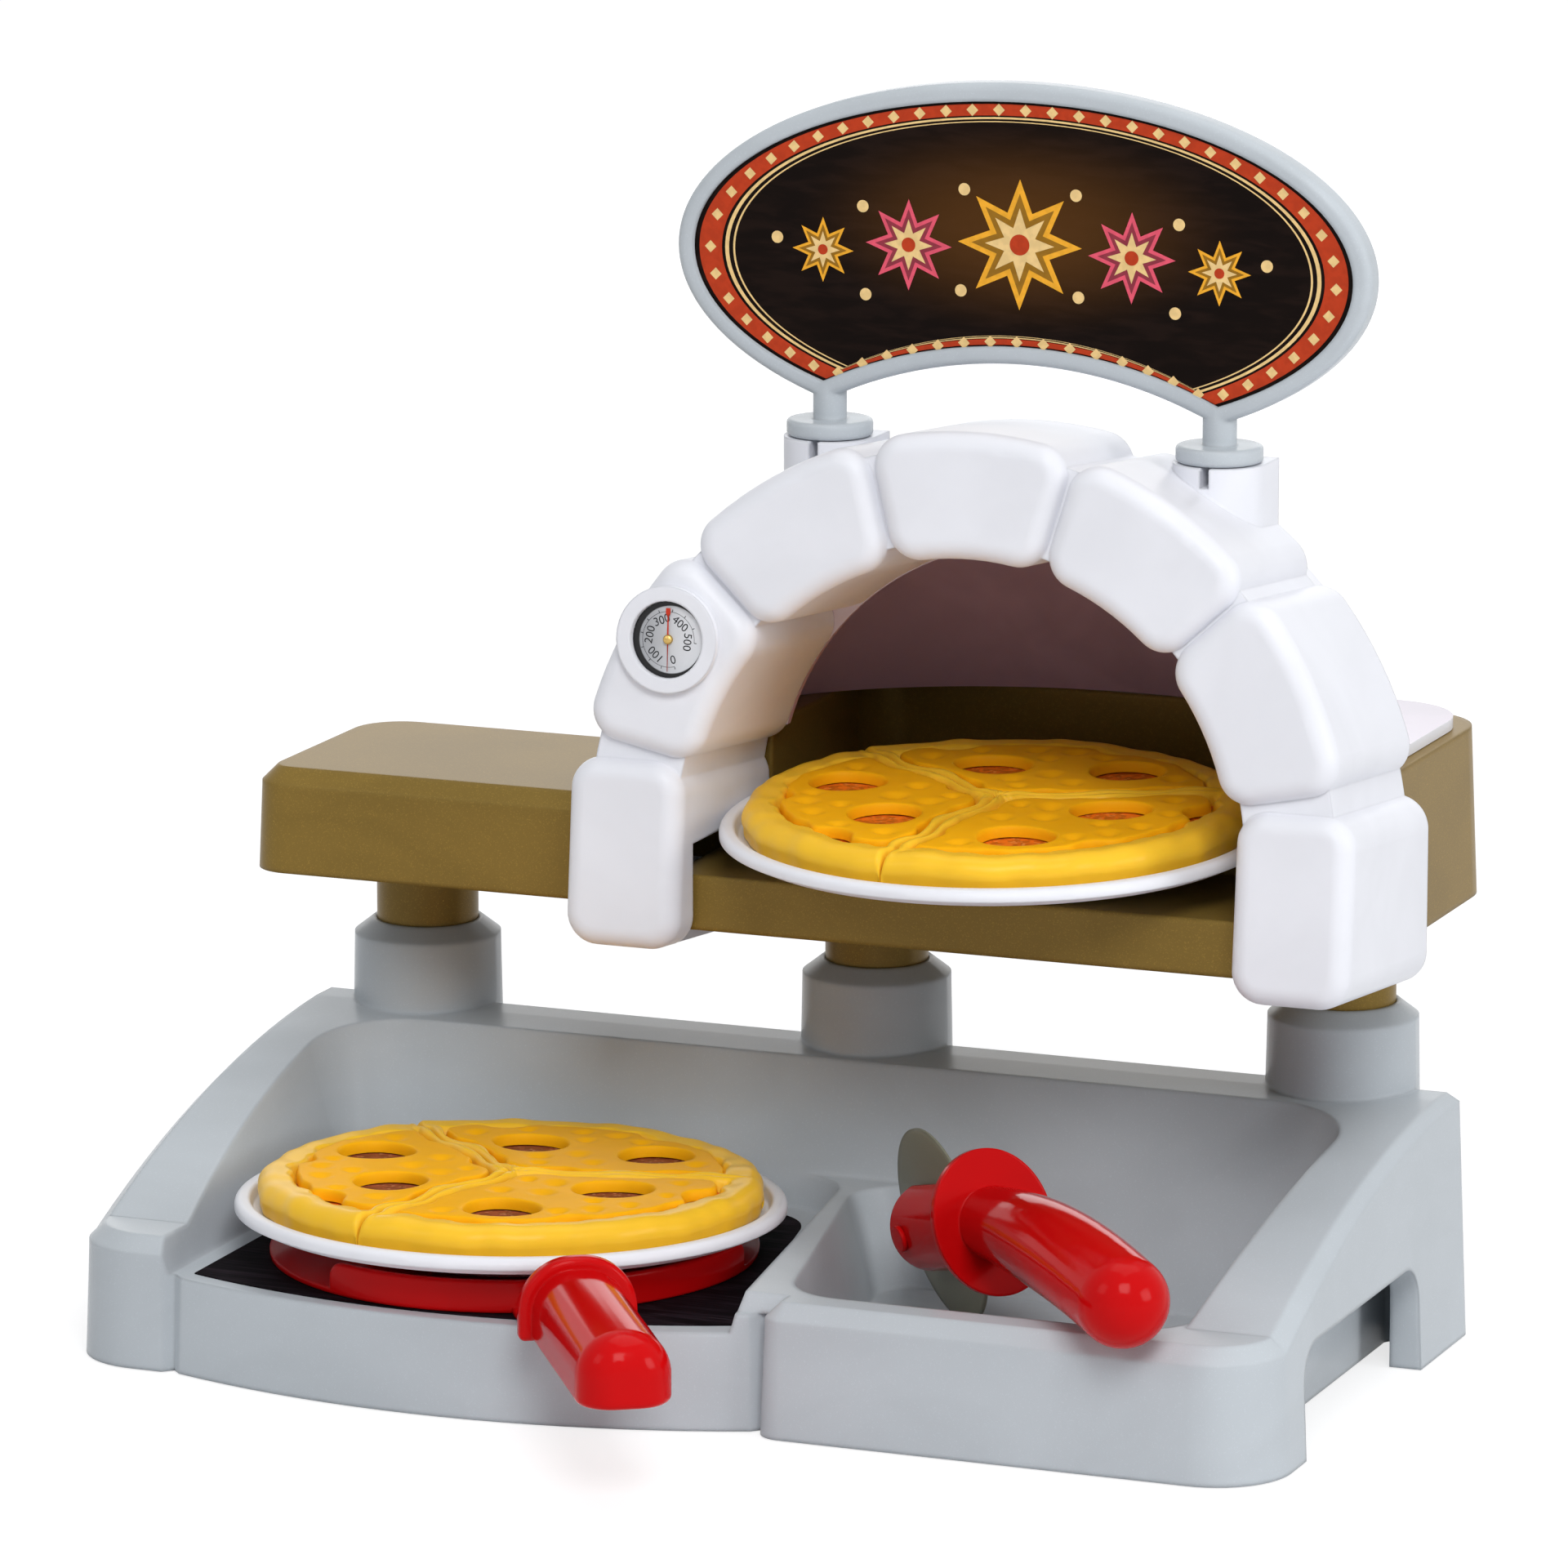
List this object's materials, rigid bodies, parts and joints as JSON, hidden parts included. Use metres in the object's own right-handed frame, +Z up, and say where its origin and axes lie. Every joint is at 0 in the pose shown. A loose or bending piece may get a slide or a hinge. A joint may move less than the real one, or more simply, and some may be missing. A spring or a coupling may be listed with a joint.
{
  "type": "toy pizza station",
  "caption": "Toy pizza station: grey tray base with worktop and bin, bronze counter on legs, white stone arch oven, oval sign, sliced pizza on plates, red peel and cutter.",
  "frame": {"origin": "on the floor, under the middle of the whole set's bounding box", "axes": "+Z up, +X to the right seen from the front, front towards -Y"},
  "size_m": [0.391, 0.3404, 0.391],
  "materials": {
    "grey": "gloss, faint pearl",
    "bronze": "gloss, metallic flake",
    "white": "gloss",
    "red": "gloss",
    "crust": "satin",
    "cheese": "satin",
    "salami": "printed",
    "tomato": "printed",
    "mat": "printed, satin",
    "panel": "printed",
    "dial": "printed",
    "sign": "gloss",
    "wheel": "gloss",
    "steel": "plated"
  },
  "bodies": {
    "station": {"base_tray": "grey", "work_mat": "mat", "leg_left": "bronze", "leg_middle": "bronze", "leg_right": "bronze", "leg_screws": "steel", "counter_deck": "bronze", "oven_arch": "white", "dial": "dial", "oven_dome": "white"},
    "sign": {"sign_frame": "sign", "sign_panel": "panel"},
    "oven_plate": {"oven_plate": "white"},
    "peel": {"peel_blade": "red", "peel_handle": "red"},
    "serving_plate": {"serving_plate": "white"},
    "cutter": {"cutter_handle": "red", "cutter_axle": "red"},
    "cutter_wheel": {"cutter_wheel": "wheel"},
    "oven_slice_1": {"oven_crust_1": "crust", "oven_topping_1": "tomato"},
    "oven_cover_1": {"oven_cheese_1": "cheese"},
    "oven_slice_2": {"oven_crust_2": "crust", "oven_topping_2": "tomato"},
    "oven_cover_2": {"oven_cheese_2": "cheese"},
    "oven_slice_3": {"oven_crust_3": "crust", "oven_topping_3": "tomato"},
    "oven_cover_3": {"oven_cheese_3": "cheese"},
    "served_slice_1": {"served_crust_1": "crust", "served_topping_1": "salami"},
    "served_cover_1": {"served_cheese_1": "cheese"},
    "served_slice_2": {"served_crust_2": "crust", "served_topping_2": "salami"},
    "served_cover_2": {"served_cheese_2": "cheese"},
    "served_slice_3": {"served_crust_3": "crust", "served_topping_3": "salami"},
    "served_cover_3": {"served_cheese_3": "cheese"}
  },
  "joints": [
    {"name": "sign_lift", "type": "slide", "parent": "station", "child": "sign", "axis": [0, 0, 1], "range_m": [0, 0.024]},
    {"name": "oven_plate_slide", "type": "slide", "parent": "station", "child": "oven_plate", "axis": [0, -1, 0], "range_m": [0, 0.18]},
    {"name": "peel_lift", "type": "slide", "parent": "station", "child": "peel", "axis": [0, 0, 1], "range_m": [0, 0.02]},
    {"name": "serving_plate_lift", "type": "slide", "parent": "peel", "child": "serving_plate", "axis": [0, 0, 1], "range_m": [0, 0.014]},
    {"name": "cutter_lift", "type": "slide", "parent": "station", "child": "cutter", "axis": [0, 0, 1], "range_m": [0, 0.045]},
    {"name": "cutter_wheel_spin", "type": "hinge", "parent": "cutter", "child": "cutter_wheel", "pos_m": [0.0527, 0.02954, 0.04075], "axis": [0.6981, 0.6872, 0.2008], "continuous": true},
    {"name": "oven_slice_1_lift", "type": "slide", "parent": "oven_plate", "child": "oven_slice_1", "axis": [0, -0.04, 0.9992], "range_m": [0, 0.008]},
    {"name": "oven_cover_1_lift", "type": "slide", "parent": "oven_slice_1", "child": "oven_cover_1", "axis": [0, -0.04, 0.9992], "range_m": [0, 0.008]},
    {"name": "oven_slice_2_lift", "type": "slide", "parent": "oven_plate", "child": "oven_slice_2", "axis": [0, -0.04, 0.9992], "range_m": [0, 0.008]},
    {"name": "oven_cover_2_lift", "type": "slide", "parent": "oven_slice_2", "child": "oven_cover_2", "axis": [0, -0.04, 0.9992], "range_m": [0, 0.008]},
    {"name": "oven_slice_3_lift", "type": "slide", "parent": "oven_plate", "child": "oven_slice_3", "axis": [0, -0.04, 0.9992], "range_m": [0, 0.008]},
    {"name": "oven_cover_3_lift", "type": "slide", "parent": "oven_slice_3", "child": "oven_cover_3", "axis": [0, -0.04, 0.9992], "range_m": [0, 0.008]},
    {"name": "served_slice_1_lift", "type": "slide", "parent": "serving_plate", "child": "served_slice_1", "axis": [0, 0.0279, 0.9996], "range_m": [0, 0.014]},
    {"name": "served_cover_1_lift", "type": "slide", "parent": "served_slice_1", "child": "served_cover_1", "axis": [0, 0.0279, 0.9996], "range_m": [0, 0.008]},
    {"name": "served_slice_2_lift", "type": "slide", "parent": "serving_plate", "child": "served_slice_2", "axis": [0, 0.0279, 0.9996], "range_m": [0, 0.014]},
    {"name": "served_cover_2_lift", "type": "slide", "parent": "served_slice_2", "child": "served_cover_2", "axis": [0, 0.0279, 0.9996], "range_m": [0, 0.008]},
    {"name": "served_slice_3_lift", "type": "slide", "parent": "serving_plate", "child": "served_slice_3", "axis": [0, 0.0279, 0.9996], "range_m": [0, 0.014]},
    {"name": "served_cover_3_lift", "type": "slide", "parent": "served_slice_3", "child": "served_cover_3", "axis": [0, 0.0279, 0.9996], "range_m": [0, 0.008]}
  ]
}
